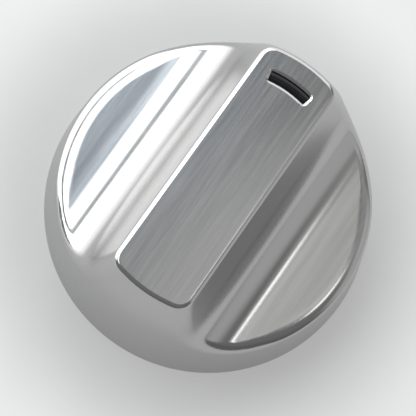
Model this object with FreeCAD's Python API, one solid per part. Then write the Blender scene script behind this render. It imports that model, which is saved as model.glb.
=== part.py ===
"""Oven control knob: a brushed metal shell with a grip bar, a black indicator and a moulded shaft hub.

The knob stands on its base rim. +Z points out of its front, the grip bar runs along Y, and the indicator
is at the +Y end of the bar. Lengths are millimetres, angles are degrees.
"""
import math
import os

import FreeCAD
import Part

# Shell outside
base_diameter = 50.0
knob_height = 25.0
skirt_lean = 9.2
shoulder_height = 12.0
rim_round = 2.1
bar_top_width = 12.0
bar_draft = 18.0
bar_end_curve = 44.5
bar_end_start = 14.0
bar_corner_round = 2.6
bar_top_round = 0.85
root_radius = 8.0

# Shell inside
shell_wall = 1.5

# Indicator
indicator_setback = 3.55
indicator_length = 6.25
indicator_width = 1.5
indicator_corner = 0.25
indicator_recess = 0.2
indicator_crown = 0.2
indicator_clearance = 0.05
slot_chamfer = 0.25
flange_margin = 0.7
flange_thickness = 0.9

# Hub
fit_clearance = 0.12
hub_wall = 1.6
hub_base = 6.2
rib_count = 6
rib_thickness = 1.4
rib_setback = 0.3
pad_size = 3.0
pad_inset = 5.0
boss_diameter = 14.5
boss_base = 1.0

# Shaft bore: a wider round lead-in, then a flat on its -Y side
lead_diameter = 8.6
lead_depth = 5.0
bore_diameter = 8.1
bore_depth = 15.0
bore_flat = 2.55
mouth_chamfer = 0.5

# Spring
leaf_thickness = 0.4
leaf_width = 4.4
leaf_length = 8.6
leaf_side_clearance = 0.1
leaf_lead_clearance = 0.1
leaf_end_clearance = 0.3

# Cutting solids reach this far past what they cut.
overcut = 1.0

origin = FreeCAD.Vector(0, 0, 0)
up = FreeCAD.Vector(0, 0, 1)
close = 1e-3


def at(x, y, z):
    return FreeCAD.Vector(x, y, z)


def line(a, b):
    return Part.LineSegment(a, b).toShape()


def arc(a, middle, b):
    return Part.Arc(a, middle, b).toShape()


def face(*edges):
    return Part.Face(Part.Wire(edges))


def rod(radius, z_low, z_high):
    return Part.makeCylinder(radius, z_high - z_low, at(0, 0, z_low), up)


def block(x_low, x_high, y_low, y_high, z_low, z_high):
    return Part.makeBox(x_high - x_low, y_high - y_low, z_high - z_low, at(x_low, y_low, z_low))


# The skirt is a cone. Where it goes on up the ends of the bar, it curves in, tangent to the cone.
lean = math.radians(skirt_lean)
base_radius = base_diameter / 2
curve_foot_r = base_radius - bar_end_start * math.tan(lean)
curve_centre_r = curve_foot_r - bar_end_curve * math.cos(lean)
curve_centre_z = bar_end_start - bar_end_curve * math.sin(lean)


def curve_at(z, inset=0.0):
    """Radius at a height of the curve of the bar's ends, or of a curve inside it by inset."""
    return curve_centre_r + math.sqrt((bar_end_curve - inset) ** 2 - (z - curve_centre_z) ** 2)


# The flat of the top ends where the top's rounding starts.
flat_end_r = curve_at(knob_height - bar_top_round, bar_top_round)

# The inside of the shell is a plain cone, set in from a line between the base and the top of the bar's ends.
inner_lean = math.atan2(base_radius - curve_at(knob_height), knob_height)


def cone_at(z, inset):
    """Radius of the inner cone at a height, for a distance in from the outside."""
    return base_radius - z * math.tan(inner_lean) - inset / math.cos(inner_lean)


# Each flank of the bar leans out by the draft, then sweeps into the shoulder with the root radius.
draft = math.radians(bar_draft)
root_z = shoulder_height + root_radius
flank_foot = root_z - root_radius * math.sin(draft)
root_x = bar_top_width / 2 + (knob_height - flank_foot) * math.tan(draft) + root_radius * math.cos(draft)


def turned_form():
    """The outside of the knob as if it were round all the way up, turned in two halves that meet on X."""
    foot = at(base_radius, 0, 0)
    curve_foot = at(curve_foot_r, 0, bar_end_start)
    middle_z = (bar_end_start + knob_height) / 2
    curve_top = at(curve_at(knob_height), 0, knob_height)
    peak = at(0, 0, knob_height)
    outline = face(
        line(origin, foot),
        line(foot, curve_foot),
        arc(curve_foot, at(curve_at(middle_z), 0, middle_z), curve_top),
        line(curve_top, peak),
        line(peak, origin),
    )
    front = outline.revolve(origin, up, 180)
    back = front.copy()
    back.rotate(origin, up, 180)
    return front.fuse(back)


def bar_form(inset, z_low):
    """Shoulders, flanks and top of the bar: a section across the bar, drawn out along it."""
    reach = base_radius + overcut
    floor = shoulder_height - inset
    top = knob_height - inset
    root = root_radius + inset

    def on_root(angle):
        return root_x - root * math.cos(angle), root_z - root * math.sin(angle)

    tangent_x, tangent_z = on_root(draft)
    middle_x, middle_z = on_root((draft + math.pi / 2) / 2)
    top_x = tangent_x - (top - tangent_z) * math.tan(draft)

    def half(side):
        def point(x, z):
            return at(side * x, -reach, z)

        return face(
            line(point(0, z_low), point(reach, z_low)),
            line(point(reach, z_low), point(reach, floor)),
            line(point(reach, floor), point(root_x, floor)),
            arc(point(root_x, floor), point(middle_x, middle_z), point(tangent_x, tangent_z)),
            line(point(tangent_x, tangent_z), point(top_x, top)),
            line(point(top_x, top), point(0, top)),
            line(point(0, top), point(0, z_low)),
        ).extrude(at(0, 2 * reach, 0))

    return half(1).fuse(half(-1)).removeSplitter()


def inner_form(inset, z_low):
    """The form that lies inside the shell by inset, cut off at a height, with a straight leaning wall."""
    top = knob_height - inset
    cone = Part.makeCone(cone_at(z_low, inset), cone_at(top, inset), top - z_low, at(0, 0, z_low), up)
    return cone.common(bar_form(inset, z_low))


def round_edges(form):
    """Round the chain of edges up each corner, from the rim to the top of the bar, and then the top's outline."""
    def radius_at(z):
        if z < shoulder_height + close:
            return rim_round
        rise = min(1.0, (z - shoulder_height) / (flank_foot - shoulder_height))
        return rim_round + (bar_corner_round - rim_round) * rise

    radii = []
    for number, edge in enumerate(form.Edges, 1):
        first, middle, last = edge.discretize(3)
        on_side = abs(middle.x) > close and shoulder_height - close < middle.z < knob_height - close
        curved = (first + last).distanceToPoint(middle * 2) > close
        if on_side and curved:
            radii.append((number, radius_at(first.z), radius_at(last.z)))

    document = FreeCAD.newDocument("rims")
    blank = document.addObject("Part::Feature", "blank")
    blank.Shape = form
    rounded = document.addObject("Part::Fillet", "rounded")
    rounded.Base = blank
    # Edges with a changing radius go first, so that those with an even one stay exact rounds.
    rounded.Edges = sorted(radii, key=lambda row: row[1] == row[2])
    document.recompute()
    shape = rounded.Shape.copy()
    FreeCAD.closeDocument(document.Name)

    top = [e for e in shape.Edges if all(abs(p.z - knob_height) < close for p in e.discretize(3))]
    return shape.makeFillet(bar_top_round, top)


indicator_radius = flat_end_r - indicator_setback


def bent(section, length):
    """A section turned about the axis of the knob, centred on +Y, to an arc of a length."""
    angle = math.degrees(length / indicator_radius)
    section.rotate(origin, up, 90 - angle / 2)
    return section.revolve(origin, up, angle)


def bent_bar(margin, z_low, z_high):
    """The indicator's plan, larger all round by margin: a bar bent about the axis of the knob."""
    inner = indicator_radius - indicator_width / 2 - margin
    outer = indicator_radius + indicator_width / 2 + margin
    corners = [(inner, z_low), (outer, z_low), (outer, z_high), (inner, z_high), (inner, z_low)]
    section = Part.Face(Part.makePolygon([at(r, 0, z) for r, z in corners]))
    bar = bent(section, indicator_length + 2 * margin)
    return bar.makeFillet(indicator_corner + margin, upright_edges(bar))


def upright_edges(shape):
    return [e for e in shape.Edges if e.Vertexes[0].Point.sub(e.Vertexes[-1].Point).cross(up).Length < close]


ceiling = knob_height - shell_wall
flange_base = ceiling - flange_thickness


def make_shell():
    solid = round_edges(turned_form().common(bar_form(0.0, 0.0)))
    solid = solid.cut(inner_form(shell_wall, -overcut))
    slot = bent_bar(indicator_clearance, ceiling - overcut, knob_height + overcut)
    solid = solid.cut(slot)
    rim = [e for e in solid.Edges if all(abs(v.Z - knob_height) < close for v in e.Vertexes)]
    rim = [e for e in rim if slot.isInside(e.Vertexes[0].Point, close, True)]
    return solid.makeChamfer(slot_chamfer, rim).removeSplitter()


def make_indicator():
    """A bar with a crowned top, and a flange that bears on the inside of the shell."""
    inner = indicator_radius - indicator_width / 2
    outer = indicator_radius + indicator_width / 2
    top = knob_height - indicator_recess
    edge = top - indicator_crown
    section = face(
        line(at(inner, 0, flange_base), at(outer, 0, flange_base)),
        line(at(outer, 0, flange_base), at(outer, 0, edge)),
        arc(at(outer, 0, edge), at(indicator_radius, 0, top), at(inner, 0, edge)),
        line(at(inner, 0, edge), at(inner, 0, flange_base)),
    )
    tongue = bent(section, indicator_length)
    tongue = tongue.makeFillet(indicator_corner, upright_edges(tongue))
    return tongue.fuse(bent_bar(flange_margin, flange_base, ceiling)).removeSplitter()


hub_inset = shell_wall + fit_clearance
lead_radius = lead_diameter / 2
lead_top = boss_base + lead_depth
bore_radius = bore_diameter / 2
bore_top = boss_base + bore_depth
pocket_back = -lead_radius - leaf_lead_clearance - leaf_thickness
pocket_top = lead_top + leaf_length + leaf_end_clearance


def make_hub():
    outside = inner_form(hub_inset, hub_base)
    solid = outside.cut(inner_form(hub_inset + hub_wall, hub_base - overcut))

    boss = rod(boss_diameter / 2, boss_base, knob_height)
    solid = solid.fuse(boss.common(inner_form(hub_inset, boss_base)))

    reach = base_radius + overcut
    rib = block(0, reach, -rib_thickness / 2, rib_thickness / 2, hub_base + rib_setback, knob_height)
    for number in range(rib_count):
        turned = rib.copy()
        turned.rotate(origin, up, 90 + 360 * number / rib_count)
        solid = solid.fuse(turned.common(outside))

    seat = shoulder_height - shell_wall
    pad_high = cone_at(seat, hub_inset) - pad_inset
    for x_low in (pad_high - pad_size, -pad_high):
        for y_low in (pad_size / 2, -1.5 * pad_size):
            pad = block(x_low, x_low + pad_size, y_low, y_low + pad_size, seat - hub_wall, seat)
            solid = solid.fuse(pad)

    flange_y = bent_bar(flange_margin + indicator_clearance, flange_base, ceiling).BoundBox.YMin
    solid = solid.cut(block(-reach, reach, flange_y, reach, flange_base, knob_height))

    mouth_radius = lead_radius + mouth_chamfer
    flatted = rod(bore_radius, boss_base, bore_top)
    half_width = leaf_width / 2 + leaf_side_clearance
    for cutter in (
        flatted.common(block(-reach, reach, -bore_flat, reach, boss_base, bore_top)),
        rod(lead_radius, boss_base - overcut, lead_top),
        Part.makeCone(mouth_radius, lead_radius, mouth_chamfer, at(0, 0, boss_base), up),
        block(-half_width, half_width, pocket_back, 0, boss_base - overcut, pocket_top),
    ):
        solid = solid.cut(cutter)
    return solid.removeSplitter()


def make_spring():
    """A leaf with a straight leg beside the lead-in and a bow that reaches the flat of the bore."""
    bow = -bore_flat - leaf_thickness - pocket_back
    back_radius = (leaf_length ** 2 / 4 + bow ** 2) / (2 * bow)
    front_radius = back_radius + leaf_thickness
    centre_y = pocket_back + bow - back_radius
    centre_z = lead_top + leaf_length / 2
    leg_front = pocket_back + leaf_thickness
    foot = boss_base + leaf_end_clearance
    back_angle = math.asin(leaf_length / 2 / back_radius)
    front_angle = math.acos((leg_front - centre_y) / front_radius)

    def point(radius, angle):
        return at(-leaf_width / 2, centre_y + radius * math.cos(angle), centre_z + radius * math.sin(angle))

    leg_back_foot = at(-leaf_width / 2, pocket_back, foot)
    leg_front_foot = at(-leaf_width / 2, leg_front, foot)
    strip = face(
        line(leg_back_foot, point(back_radius, -back_angle)),
        arc(*[point(back_radius, angle) for angle in (-back_angle, 0, back_angle)]),
        line(point(back_radius, back_angle), point(front_radius, back_angle)),
        arc(*[point(front_radius, angle) for angle in (back_angle, 0, -front_angle)]),
        line(point(front_radius, -front_angle), leg_front_foot),
        line(leg_front_foot, leg_back_foot),
    )
    return strip.extrude(at(leaf_width, 0, 0))


os.makedirs("parts", exist_ok=True)
pieces = {
    "knob_shell": make_shell(),
    "indicator_insert": make_indicator(),
    "shaft_hub": make_hub(),
    "shaft_spring": make_spring(),
}
for name, shape in pieces.items():
    shape.exportStep(f"parts/{name}.step")
    print(name, shape.isValid(), len(shape.Solids), round(shape.Volume, 1), len(shape.Faces))
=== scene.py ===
# %% [markdown]
# # An oven control knob in brushed metal
#
# The knob is a cast shell with a grip bar across its top, a small black indicator let into the bar,
# and a moulded hub with a spring leaf underneath, where the control shaft goes in. The solids come
# from the packed model at their real size. This lesson gives them their finish: smooth reflections
# first, then metal, plastic and steel, then a small studio with the camera where the photograph was
# taken from.

# %% load the packed knob
import math

import bpy
from mathutils import Matrix, Quaternion, Vector


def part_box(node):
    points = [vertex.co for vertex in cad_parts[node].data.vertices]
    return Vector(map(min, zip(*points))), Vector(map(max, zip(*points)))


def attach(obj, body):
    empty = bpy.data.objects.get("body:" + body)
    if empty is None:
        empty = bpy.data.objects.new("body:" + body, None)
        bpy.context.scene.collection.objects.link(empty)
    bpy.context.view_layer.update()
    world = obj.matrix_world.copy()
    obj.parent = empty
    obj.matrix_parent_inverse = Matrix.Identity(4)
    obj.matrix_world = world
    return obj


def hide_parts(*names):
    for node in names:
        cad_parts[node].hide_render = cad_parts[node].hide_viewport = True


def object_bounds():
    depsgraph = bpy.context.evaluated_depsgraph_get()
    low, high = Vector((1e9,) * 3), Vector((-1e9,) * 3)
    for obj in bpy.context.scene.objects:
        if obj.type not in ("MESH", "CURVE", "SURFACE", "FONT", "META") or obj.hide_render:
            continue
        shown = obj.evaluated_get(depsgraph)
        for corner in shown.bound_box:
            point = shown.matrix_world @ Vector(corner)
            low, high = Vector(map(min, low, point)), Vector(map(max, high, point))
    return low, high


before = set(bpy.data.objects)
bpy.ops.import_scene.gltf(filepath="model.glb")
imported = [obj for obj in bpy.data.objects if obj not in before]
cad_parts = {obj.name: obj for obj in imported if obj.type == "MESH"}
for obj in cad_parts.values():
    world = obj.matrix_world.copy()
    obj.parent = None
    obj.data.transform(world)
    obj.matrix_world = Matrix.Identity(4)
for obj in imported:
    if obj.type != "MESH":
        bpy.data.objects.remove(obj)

MM = 0.001
cad_box = [list(corner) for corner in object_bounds()]
base_radius = cad_box[1][0]
knob_height = cad_box[1][2]
print("pieces:", sorted(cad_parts))
print("base radius and height in mm:", round(base_radius / MM, 2), round(knob_height / MM, 2))

# %% [markdown]
# ## The shell's surface
#
# The real shell is cast, ground and brushed, so light runs over its roots and rims without a break.
# The packed mesh is made of loose triangles, face by face, and their normals differ a little where
# two faces meet, which shows as a line in a mirror finish. The shell could be modelled again by
# hand, but its form is already right. So a copy of its mesh is merged into one skin, and its
# normals are worked out again further down.

# %% one skin for the shell
merge_distance = 0.002 * MM


def only(piece):
    """Select one piece and make it active, for the operators that follow."""
    bpy.ops.object.select_all(action="DESELECT")
    piece.select_set(True)
    bpy.context.view_layer.objects.active = piece


def copy_of(node, name):
    """A copy of a node with a mesh of its own, its doubled points merged and its stored normals cleared."""
    piece = bpy.data.objects.new(name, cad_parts[node].data.copy())
    bpy.context.scene.collection.objects.link(piece)
    only(piece)
    bpy.ops.mesh.customdata_custom_splitnormals_clear()
    bpy.ops.object.mode_set(mode="EDIT")
    bpy.ops.mesh.select_all(action="SELECT")
    bpy.ops.mesh.remove_doubles(threshold=merge_distance)
    bpy.ops.mesh.select_mode(type="FACE")
    bpy.ops.mesh.select_all(action="DESELECT")
    bpy.ops.object.mode_set(mode="OBJECT")
    return piece


shell = copy_of("knob_shell", "shell_skin")
print("shell skin:", len(shell.data.vertices), "points", len(shell.data.polygons), "faces")

# %% [markdown]
# ## Flat shoulders
#
# On each side of the bar the shell has a flat shoulder. In the mesh it is a fan of long, thin
# triangles, and these would fold over when the rim beside them moves. A fan can be cleaned up
# triangle by triangle, but a flat needs no triangles at all, so each shoulder is dissolved into one
# face, which follows its outline wherever that goes.

# %% one face for each shoulder
shoulder_height = 12.0 * MM
touch = 0.01 * MM
level_limit = 0.9999


def join_shoulder(piece, side):
    """Dissolve the level triangles of the shoulder at +X or -X into a single face."""
    only(piece)
    for face in piece.data.polygons:
        level = face.normal.z > level_limit and abs(face.center.z - shoulder_height) < touch
        face.select = level and face.center.x * side > 0
    count = sum(face.select for face in piece.data.polygons)
    bpy.ops.object.mode_set(mode="EDIT")
    bpy.ops.mesh.dissolve_faces()
    bpy.ops.object.mode_set(mode="OBJECT")
    return count


print("triangles joined:", join_shoulder(shell, 1), join_shoulder(shell, -1))

# %% [markdown]
# ## Rims
#
# Grinding the shoulders flat leaves a low oval edge round them, while the solid has an even round.
# A mirror finish shows the difference of a tenth of a millimetre, because the bright lines move.
# The rim could be bevelled again, but it is quicker to slide its points: each one keeps its normal
# and goes to the place on the oval that has it. Near the corners of the bar the slide fades out,
# because there the edge runs up the bar.

# %% the round rim and the oval one
skirt_lean = math.radians(9.2)
round_radius = 2.1 * MM
oval_width = 2.7 * MM
oval_height = 1.33 * MM
rim_slack = 0.06 * MM
angle_slack = 0.01


def rim_centre(width, height):
    """Radius and height of the centre of a rim with these half axes, touching shoulder and skirt."""
    reach = math.hypot(width * math.cos(skirt_lean), height * math.sin(skirt_lean))
    centre_z = shoulder_height - height
    return base_radius - (reach + centre_z * math.sin(skirt_lean)) / math.cos(skirt_lean), centre_z


def rim_angle(point):
    """The elevation of the rim's normal at a point, or nothing if the point isn't on the round rim."""
    centre_r, centre_z = rim_centre(round_radius, round_radius)
    outward = math.hypot(point.x, point.y) - centre_r
    upward = point.z - centre_z
    angle = math.atan2(upward, outward)
    on_round = abs(math.hypot(outward, upward) - round_radius) < rim_slack
    on_arc = skirt_lean - angle_slack < angle < math.pi / 2 + angle_slack
    return angle if on_round and on_arc else None


def oval_place(angle):
    """Radius and height of the point of the oval rim whose normal has this elevation."""
    centre_r, centre_z = rim_centre(oval_width, oval_height)
    reach = math.hypot(oval_width * math.cos(angle), oval_height * math.sin(angle))
    r = centre_r + oval_width ** 2 * math.cos(angle) / reach
    return r, centre_z + oval_height ** 2 * math.sin(angle) / reach


print("shoulder ends at mm:", round(rim_centre(oval_width, oval_height)[0] / MM, 2))

# %% slide the rim's points
full_until = math.radians(29)
gone_at = math.radians(41)


def eased(share):
    """A share of 0 to 1, with a soft start and a soft end."""
    return share * share * (3 - 2 * share)


rim_normals = {}
for vertex in shell.data.vertices:
    angle = rim_angle(vertex.co)
    turn = math.atan2(abs(vertex.co.y), abs(vertex.co.x))
    if angle is None or turn > gone_at:
        continue
    outward = Vector((vertex.co.x, vertex.co.y, 0)).normalized()
    rim_normals[vertex.index] = outward * math.cos(angle) + Vector((0, 0, math.sin(angle)))
    r, z = oval_place(angle)
    share = eased(min(1.0, (gone_at - turn) / (gone_at - full_until)))
    vertex.co = vertex.co.lerp(outward * r + Vector((0, 0, z)), share)
print("rim points moved:", len(rim_normals))

# %% [markdown]
# ## The slot's edge
#
# The slot for the indicator has a narrow worn edge that shows as a white line. The solid's edge
# slopes at 45 degrees and mirrors the dark side of the room. A new bevel would do, but the edge is
# already there: its upper points slide out on the flat top and its lower points are lifted a
# little. The wider, flatter slope mirrors the light beyond the far end of the bar.

# %% widen and flatten the slot's edge
edge_depth = 0.25 * MM
edge_rise = 0.04 * MM
edge_slide = 0.1 * MM
edge_reach = 0.32 * MM

slot_low, slot_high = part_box("indicator_insert")
feet = []
for vertex in shell.data.vertices:
    x, y, z = vertex.co
    beside = slot_low[0] < x < slot_high[0] and slot_low[1] < y < slot_high[1]
    if beside and abs(z - (knob_height - edge_depth)) < touch:
        feet.append(vertex)

slid = 0
for vertex in shell.data.vertices:
    if abs(vertex.co.z - knob_height) < touch:
        away = min((vertex.co - foot.co for foot in feet), key=lambda gap: gap.xy.length).xy
        if away.length < edge_reach:
            vertex.co.xy += away.normalized() * edge_slide
            slid += 1
for foot in feet:
    foot.co.z += edge_rise
print("slot edge points slid and lifted:", slid, len(feet))

# %% [markdown]
# ## Normals for a mirror finish
#
# Smooth shading mixes the normals of the faces that meet at a point. The real flats are flat right
# up to their edges, so a mixed normal there would bend the reflection of a lamp into teeth. More
# faces would only make the teeth smaller. Instead the mix counts large faces for more, and the
# points whose normals are known, on the flats and on the rims, are given exactly these.

# %% smooth the skin
smooth_angle = math.radians(28)
same_surface = math.cos(math.radians(25))

only(shell)
bpy.ops.object.shade_smooth_by_angle(angle=smooth_angle)
weights = shell.modifiers.new("weights", "WEIGHTED_NORMAL")
weights.keep_sharp = True
bpy.ops.object.modifier_apply(modifier=weights.name)

known = dict(rim_normals)
for face in shell.data.polygons:
    if face.normal.z > level_limit:
        known.update((point, Vector((0, 0, 1))) for point in face.vertices)

normals = [Vector(corner.vector) for corner in shell.data.corner_normals]
for face in shell.data.polygons:
    for corner, point in zip(face.loop_indices, face.vertices):
        if point in known and known[point].dot(face.normal) > same_surface:
            normals[corner] = known[point]
shell.data.normals_split_custom_set(normals)
print("points with a known normal:", len(known))

# %% [markdown]
# ## Short calls for the finishes
#
# Metal, moulding and steel each take a handful of shader nodes. They could be joined by hand in the
# node editor, but then the recipe can't be read from top to bottom. A few short calls keep every
# finish to the lines that say something about it. Noise is measured in the knob's own coordinates,
# so that a grain keeps its size.

# %% short calls for material nodes
noise_low = 0.3
noise_high = 0.7


class Nodes:
    """Short calls to add and join the nodes of one material."""

    def __init__(self, name):
        self.material = bpy.data.materials.new(name)
        self.material.use_nodes = True
        self.tree = self.material.node_tree
        self.shader = self.tree.nodes["Principled BSDF"]

    def add(self, kind, **values):
        """A new node, with some of its settings."""
        node = self.tree.nodes.new(kind)
        for key, value in values.items():
            setattr(node, key, value)
        return node

    def join(self, output, socket):
        """A link from one node to the next."""
        self.tree.links.new(output, socket)

    def finish(self, output, socket):
        """Join an output to one of the shader's own sockets."""
        self.join(output, self.shader.inputs[socket])

    def fix(self, **values):
        """Set the shader's own sockets, with _ for a blank in their names."""
        for key, value in values.items():
            self.shader.inputs[key.replace("_", " ")].default_value = value

    def place(self, scale=(1, 1, 1)):
        """The knob's own coordinates, stretched by a scale on each axis."""
        coordinates = self.add("ShaderNodeTexCoord")
        mapping = self.add("ShaderNodeMapping")
        mapping.inputs["Scale"].default_value = scale
        self.join(coordinates.outputs["Object"], mapping.inputs["Vector"])
        return mapping.outputs["Vector"]

    def noise(self, scale, detail=3.0, roughness=0.6):
        """Noise with so many grains to a metre on each axis."""
        texture = self.add("ShaderNodeTexNoise")
        texture.inputs["Scale"].default_value = 1.0
        texture.inputs["Detail"].default_value = detail
        texture.inputs["Roughness"].default_value = roughness
        self.join(self.place(scale), texture.inputs["Vector"])
        return texture.outputs["Fac"]

    def spread(self, value, low, high, start=noise_low, end=noise_high, shape="LINEAR"):
        """A value that goes from start to end, by default as noise does, spread between two numbers."""
        spread = self.add("ShaderNodeMapRange", interpolation_type=shape)
        for socket, number in (("From Min", start), ("From Max", end), ("To Min", low), ("To Max", high)):
            spread.inputs[socket].default_value = number
        self.join(value, spread.inputs["Value"])
        return spread.outputs["Result"]

    def rise(self, value, start, end):
        """A soft rise from 0 to 1 while a value goes from start to end."""
        return self.spread(value, 0.0, 1.0, start, end, "SMOOTHSTEP")

    def scaled_sum(self, value, factor, other):
        """One value times a number, plus another value."""
        total = self.add("ShaderNodeMath", operation="MULTIPLY_ADD")
        self.join(value, total.inputs[0])
        total.inputs[1].default_value = factor
        self.join(other, total.inputs[2])
        return total.outputs["Value"]

    def tint(self, value, low, high):
        """A colour between two, by a value that varies as noise does."""
        ramp = self.add("ShaderNodeValToRGB")
        for stop, position, colour in zip(ramp.color_ramp.elements, (noise_low, noise_high), (low, high)):
            stop.position = position
            stop.color = (*colour, 1)
        self.join(value, ramp.inputs["Fac"])
        return ramp.outputs["Color"]

    def bump(self, height, depth, strength):
        """A bump of a depth in metres, over any earlier one. Strength is a number or a node's output."""
        bump = self.add("ShaderNodeBump")
        bump.inputs["Distance"].default_value = depth
        if isinstance(strength, float):
            bump.inputs["Strength"].default_value = strength
        else:
            self.join(strength, bump.inputs["Strength"])
        self.join(height, bump.inputs["Height"])
        for link in self.shader.inputs["Normal"].links:
            self.join(link.from_socket, bump.inputs["Normal"])
        self.finish(bump.outputs["Normal"], "Normal")


print("calls:", ", ".join(name for name in vars(Nodes) if not name.startswith("_")))

# %% [markdown]
# ## The foot of the root
#
# Brushing rounds off the line where a shoulder turns up into the root of the bar. That softening is
# less than a tenth of a millimetre high. It could be modelled, but it is far below the size of the
# mesh's faces, so it is a bump in the finish.

# %% the soft line at the foot of the root
root_foot = 16.03 * MM
soft_width = 1.5 * MM
soft_height = 0.08 * MM


def soft_root(nodes):
    """A height of 0 to 1 that rises softly from the shoulders into the root of the bar."""
    place = nodes.add("ShaderNodeSeparateXYZ")
    nodes.join(nodes.place(), place.inputs["Vector"])
    across = nodes.add("ShaderNodeMath", operation="ABSOLUTE")
    nodes.join(place.outputs["X"], across.inputs[0])
    return nodes.rise(across.outputs["Value"], root_foot + soft_width, root_foot - soft_width)


print("softened over mm:", round(2 * soft_width / MM, 2))

# %% [markdown]
# ## Brush marks
#
# Fine lines run along the grip bar, on its top and on the shoulders. An image of scratches would be
# quick, but it would need a flat map of this shape. A noise that is stretched along the bar follows
# the brush at any size. Narrow hairs and wider streaks are added up, as a belt leaves both.

# %% hairs and streaks along the bar
hair_scale = (2400, 110, 110)
hair_share = (0.15, 0.35)
streak_scale = (420, 24, 200)
streak_share = (0.1, 0.4)
unmarked = 0.5
faint = 0.15


def brush_marks(nodes, hairs, upward):
    """Fine hairs and wider streaks along the bar, full on the flats and faint elsewhere."""
    streaks = nodes.spread(nodes.noise(streak_scale), *streak_share)
    marks = nodes.scaled_sum(nodes.spread(hairs, *hair_share), 1.0, streaks)
    mixed = nodes.add("ShaderNodeMix")
    nodes.join(nodes.spread(upward, faint, 1.0, start=0.0, end=1.0), mixed.inputs["Factor"])
    mixed.inputs["A"].default_value = unmarked
    nodes.join(marks, mixed.inputs["B"])
    return mixed.outputs["Result"]


print("hairs to a mm across the bar:", round(hair_scale[0] * MM, 2))

# %% [markdown]
# ## Brushed metal
#
# The shell has a satin finish. The brushed flats and the steep walls and skirt are a little
# blurred, and the rubbed roots and rims are smoother and mirror the lights in clean bands. Each
# could be a material of its own, but the bands would end in a hard line where two of them meet. In
# one material, how far a face looks up says how blurred it is and how much of the brush it takes.

# %% satin metal
level_from = 0.93
level_full = 0.995
steep_from = 0.75
steep_full = 0.4
rubbed_blur = (0.12, 0.16)
level_blur = 0.035
steep_blur = 0.16
hair_depth = 0.0014 * MM
dark_metal = (0.39, 0.39, 0.39)
light_metal = (0.47, 0.47, 0.465)


def brushed_metal():
    """Metal that is brushed where it looks up, blurred where it is steep and smoother between."""
    nodes = Nodes("brushed_metal")
    nodes.fix(Metallic=1.0)
    facing = nodes.add("ShaderNodeNewGeometry")
    split = nodes.add("ShaderNodeSeparateXYZ")
    nodes.join(facing.outputs["Normal"], split.inputs["Vector"])
    upward = nodes.rise(split.outputs["Z"], level_from, level_full)
    steep = nodes.rise(split.outputs["Z"], steep_from, steep_full)

    hairs = nodes.noise(hair_scale, detail=2.0)
    nodes.finish(nodes.tint(brush_marks(nodes, hairs, upward), dark_metal, light_metal), "Base Color")
    blur = nodes.scaled_sum(upward, level_blur, nodes.spread(hairs, *rubbed_blur))
    nodes.finish(nodes.scaled_sum(steep, steep_blur, blur), "Roughness")
    nodes.bump(soft_root(nodes), soft_height, upward)
    nodes.bump(hairs, hair_depth, upward)
    return nodes.material


shell.data.materials.clear()
shell.data.materials.append(brushed_metal())
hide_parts("knob_shell")
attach(shell, "root")
print("shell finish:", shell.data.materials[0].name)

# %% [markdown]
# ## The black pieces and the spring
#
# The indicator is a gloss moulding with a crowned top, the hub is a plainer heat-resistant moulding
# with a fine spark-eroded grain, and the leaf is rolled spring steel. Their solids keep their own
# meshes, and only the finish in their material slots changes. Flat colours would look like paper
# cut-outs, so a noise sized in parts of a millimetre gives each its grain.

# %% gloss black, moulded black and spring steel
def grained(nodes, shade, grain, colours, roughness, depth, strength):
    """Two colours by one noise, and a range of roughness and a bump by another or the same one."""
    nodes.finish(nodes.tint(shade, *colours), "Base Color")
    nodes.finish(nodes.spread(grain, *roughness), "Roughness")
    nodes.bump(grain, depth, strength)
    return nodes.material


def gloss_black():
    nodes = Nodes("gloss_black")
    nodes.fix(Specular_IOR_Level=0.3)
    grain = nodes.noise(scale=(900, 900, 900))
    colours = ((0.003, 0.003, 0.004), (0.006, 0.006, 0.008))
    return grained(nodes, grain, grain, colours, roughness=(0.12, 0.2), depth=0.004 * MM, strength=0.15)


def moulded_black():
    nodes = Nodes("moulded_black")
    flow = nodes.noise(scale=(150, 150, 90))
    grain = nodes.noise(scale=(4200, 4200, 4200), detail=4.0)
    colours = ((0.022, 0.022, 0.023), (0.034, 0.034, 0.036))
    return grained(nodes, flow, grain, colours, roughness=(0.42, 0.6), depth=0.02 * MM, strength=0.5)


def spring_steel():
    nodes = Nodes("spring_steel")
    nodes.fix(Metallic=1.0)
    rolling = nodes.noise(scale=(7000, 7000, 300))
    colours = ((0.38, 0.38, 0.4), (0.52, 0.52, 0.53))
    return grained(nodes, rolling, rolling, colours, roughness=(0.2, 0.34), depth=0.004 * MM, strength=0.4)


for name, finish in (
    ("indicator_insert", gloss_black()),
    ("shaft_hub", moulded_black()),
    ("shaft_spring", spring_steel()),
):
    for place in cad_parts[name].material_slots:
        place.material = finish
    print(name, "takes", finish.name)

# %% [markdown]
# ## The floor
#
# The knob stands on a plain pale table, and its light is painted in: the table glows, as if lit
# from below as well as from above, as for a catalogue picture. The skirt mirrors the table close to
# its foot, so there the glow is painted dimmer, a painted shadow. The left wall of the bar mirrors
# the table far out on the left, where the glow is painted brighter, a painted pool of light as under
# a large light. A white card would do, but its shade would depend on the lights alone, and then the skirt
# would be bright on one side only.

# %% the pale floor
floor_size = 6.0
floor_shades = ((0.19, 0.19, 0.19), (0.21, 0.21, 0.21))
# painted light: the floor's glow, painted dimmer near the knob as a painted shadow
painted_shadow_glow = 0.36
painted_glow_far = 0.6
painted_shadow_within = 26 * MM
painted_glow_beyond = 45 * MM
# painted pool of light: the floor's glow grows far out on the left
painted_pool_from = -45 * MM
painted_pool_full = -150 * MM
painted_pool_gain = 0.7

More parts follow.
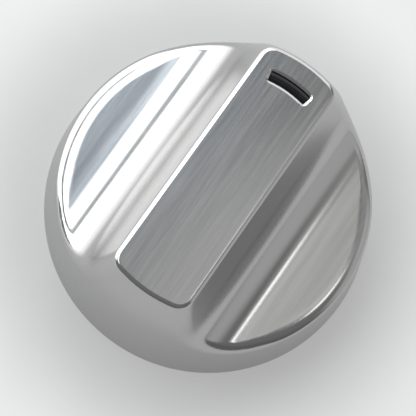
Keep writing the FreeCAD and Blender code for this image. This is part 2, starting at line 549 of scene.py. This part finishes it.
bpy.ops.object.select_all(action="DESELECT")
bpy.ops.mesh.primitive_plane_add(size=floor_size, location=(0, 0, 0))
floor = bpy.context.object
floor.name = "floor"
table = Nodes("pale_floor_painted_glow")
table.fix(Roughness=0.9, Specular_IOR_Level=0.0, Emission_Color=(1, 1, 1, 1))
speckle = table.noise(scale=(40, 40, 40))
table.finish(table.tint(speckle, *floor_shades), "Base Color")
outward = table.add("ShaderNodeVectorMath", operation="LENGTH")
table.join(table.place(), outward.inputs[0])
away = outward.outputs["Value"]
# painted shadow: the glow is dimmer close to the knob's foot and brighter further out
painted_glow_and_shadow = table.spread(away, painted_shadow_glow, painted_glow_far, painted_shadow_within, painted_glow_beyond, "SMOOTHSTEP")
across = table.add("ShaderNodeSeparateXYZ")
table.join(table.place(), across.inputs["Vector"])
# painted pool of light: extra glow on the floor far out on the left
painted_pool_left = table.rise(across.outputs["X"], painted_pool_from, painted_pool_full)
table.finish(table.scaled_sum(painted_pool_left, painted_pool_gain, painted_glow_and_shadow), "Emission Strength")
floor.data.materials.append(table.material)
print("floor finish:", table.material.name)

# %% [markdown]
# ## Soft boxes
#
# Metal shows what is round it, so the lights are the picture. The white bands on the left of the
# bar mirror a wide source low on the left and a cooler one above it, and the dark line between them
# is the gap. The cooler one is rolled a little, so that its edge runs along the bar in the
# shoulder's mirror. A dimmer card below the wide one lets the white fade into the grey of the bar's
# wall. The thin line on the right root mirrors a small strip high on the right, and the far edge of
# the bar mirrors a card beyond it. Lamps with a point would give spots, so these are flat lights,
# each as bright as it should look in a mirror.

# %% hang the soft boxes
light_distance = 1.0
cool_white = (0.94, 0.98, 1.0)


def towards(azimuth, elevation):
    """The direction at an azimuth from +X and an elevation, in degrees."""
    a, e = math.radians(azimuth), math.radians(elevation)
    return Vector((math.cos(e) * math.cos(a), math.cos(e) * math.sin(a), math.sin(e)))


def soft_box(name, azimuth, elevation, width, height, radiance, roll=0, colour=(1, 1, 1)):
    """A flat light in a direction from the knob, turned to face it and rolled by an angle in degrees."""
    light = bpy.data.lights.new(name, "AREA")
    light.shape = "RECTANGLE"
    light.size = width
    light.size_y = height
    light.color = colour
    light.energy = radiance * math.pi * width * height
    box = bpy.data.objects.new(name, light)
    box.location = towards(azimuth, elevation) * light_distance
    box.rotation_mode = "QUATERNION"
    facing = towards(azimuth, elevation).to_track_quat("Z", "Y")
    box.rotation_quaternion = facing @ Quaternion((0, 0, 1), math.radians(roll))
    box.visible_camera = False
    bpy.context.scene.collection.objects.link(box)


soft_box("left_wide", azimuth=165, elevation=25.4, width=1.68, height=0.585, radiance=3.9)
soft_box("left_low", azimuth=165, elevation=4.6, width=1.68, height=0.155, radiance=1.75)
soft_box(
    "left_high", azimuth=160, elevation=62.1, width=1.15, height=0.376, radiance=3.6,
    roll=6, colour=cool_white,
)
soft_box("right_strip", azimuth=15, elevation=57.3, width=0.22, height=0.08, radiance=3.0)
soft_box("far_card", azimuth=105, elevation=27, width=1.06, height=1.06, radiance=1.4)

# %% [markdown]
# ## The room
#
# The rest of what the metal mirrors is a dim room. It could be built from walls and cards, but each
# one would shade the others. A world that adds up soft glows by direction is easier to set: a cool
# one that the left shoulder mirrors, one for the gap between the left lights, two for the right
# shoulder and the right side of the bar's top, one for the far right rim, one low on the right for
# the root, and two dark places in front, which draw the dark line under the near rims.

# %% light the room
class Room:
    """An even dim light with soft glows and dark places, added up by direction."""

    def __init__(self, strength):
        self.world = bpy.data.worlds.new("room")
        self.world.use_nodes = True
        self.tree = self.world.node_tree
        self.direction = self.tree.nodes.new("ShaderNodeTexCoord").outputs["Generated"]
        self.strength = strength
        self.total = None

    def vector_math(self, operation):
        """A new node that works on vectors."""
        node = self.tree.nodes.new("ShaderNodeVectorMath")
        node.operation = operation
        return node

    def glow(self, azimuth, elevation, inner, outer, colour):
        """Full within the inner angle round a direction, in degrees, and gone at the outer angle."""
        facing = self.vector_math("DOT_PRODUCT")
        facing.inputs[1].default_value = towards(azimuth, elevation)
        self.tree.links.new(self.direction, facing.inputs[0])
        fade = self.tree.nodes.new("ShaderNodeMapRange")
        fade.interpolation_type = "SMOOTHSTEP"
        fade.inputs["From Min"].default_value = math.cos(math.radians(outer))
        fade.inputs["From Max"].default_value = math.cos(math.radians(inner))
        self.tree.links.new(facing.outputs["Value"], fade.inputs["Value"])
        scaled = self.vector_math("SCALE")
        scaled.inputs[0].default_value = colour
        self.tree.links.new(fade.outputs["Result"], scaled.inputs["Scale"])
        added = self.vector_math("ADD")
        added.inputs[0].default_value = (self.strength, self.strength, self.strength)
        if self.total is not None:
            self.tree.links.new(self.total, added.inputs[0])
        self.tree.links.new(scaled.outputs["Vector"], added.inputs[1])
        self.total = added.outputs["Vector"]

    def done(self):
        """Hand the sum to the scene as its world."""
        self.tree.links.new(self.total, self.tree.nodes["Background"].inputs["Color"])
        bpy.context.scene.world = self.world


darker = (-0.07, -0.07, -0.07)
room = Room(strength=0.28)
room.glow(azimuth=140, elevation=66, inner=11.5, outer=15.5, colour=(0.38, 0.48, 0.60))
room.glow(azimuth=160, elevation=47, inner=10, outer=26, colour=(0.26, 0.28, 0.30))
room.glow(azimuth=40, elevation=76, inner=10.4, outer=15, colour=(0.60, 0.60, 0.58))
room.glow(azimuth=20, elevation=62, inner=5, outer=14, colour=(0.28, 0.28, 0.27))
room.glow(azimuth=45, elevation=42, inner=8, outer=22, colour=(0.22, 0.22, 0.22))
room.glow(azimuth=25, elevation=16, inner=14, outer=28, colour=(0.42, 0.42, 0.42))
room.glow(azimuth=-25, elevation=12, inner=12, outer=28, colour=darker)
room.glow(azimuth=-75, elevation=12, inner=12, outer=28, colour=darker)
room.done()
bpy.context.scene.view_settings.view_transform = "Standard"
print("room:", bpy.context.scene.world.name)

# %% [markdown]
# ## The camera
#
# The photograph looks down on the knob from a little towards the end of the bar away from the
# indicator, and it is turned so that the bar runs up to the right. The camera stands four knob
# widths away. Its direction, its turn and its lens come from matching the base circle, the
# shoulders and the edges of the bar.

# %% place the camera
view_tilt = math.radians(12.67)
view_azimuth = math.radians(-83.46)
view_turn = math.radians(35.40)
view_distance = 8 * base_radius
view_offset = (-0.0014 * base_radius, -0.0094 * base_radius)
focal_pixels = 1299.8
photo_pixels = 416

back = Vector((
    math.sin(view_tilt) * math.cos(view_azimuth),
    math.sin(view_tilt) * math.sin(view_azimuth),
    math.cos(view_tilt),
))
level_right = Vector((0, 1, 0)).cross(back).normalized()
level_up = back.cross(level_right)
right = math.cos(view_turn) * level_right + math.sin(view_turn) * level_up
upright = math.cos(view_turn) * level_up - math.sin(view_turn) * level_right

lens = bpy.data.cameras.new("camera")
lens.sensor_width = 36.0
lens.lens = lens.sensor_width * focal_pixels / photo_pixels
lens.clip_start = 0.01
camera = bpy.data.objects.new("camera", lens)
placing = Matrix((right, upright, back)).transposed().to_4x4()
placing.translation = back * view_distance - right * view_offset[0] - upright * view_offset[1]
camera.matrix_world = placing
bpy.context.scene.collection.objects.link(camera)
bpy.context.scene.camera = camera
print("lens in mm:", round(lens.lens, 1), "camera at", [round(v, 4) for v in camera.location])

# %% [markdown]
# ## Sizes
#
# The box of the packed solids is measured near the start, as cad_box, and the base radius and the
# height of the knob are read from it.
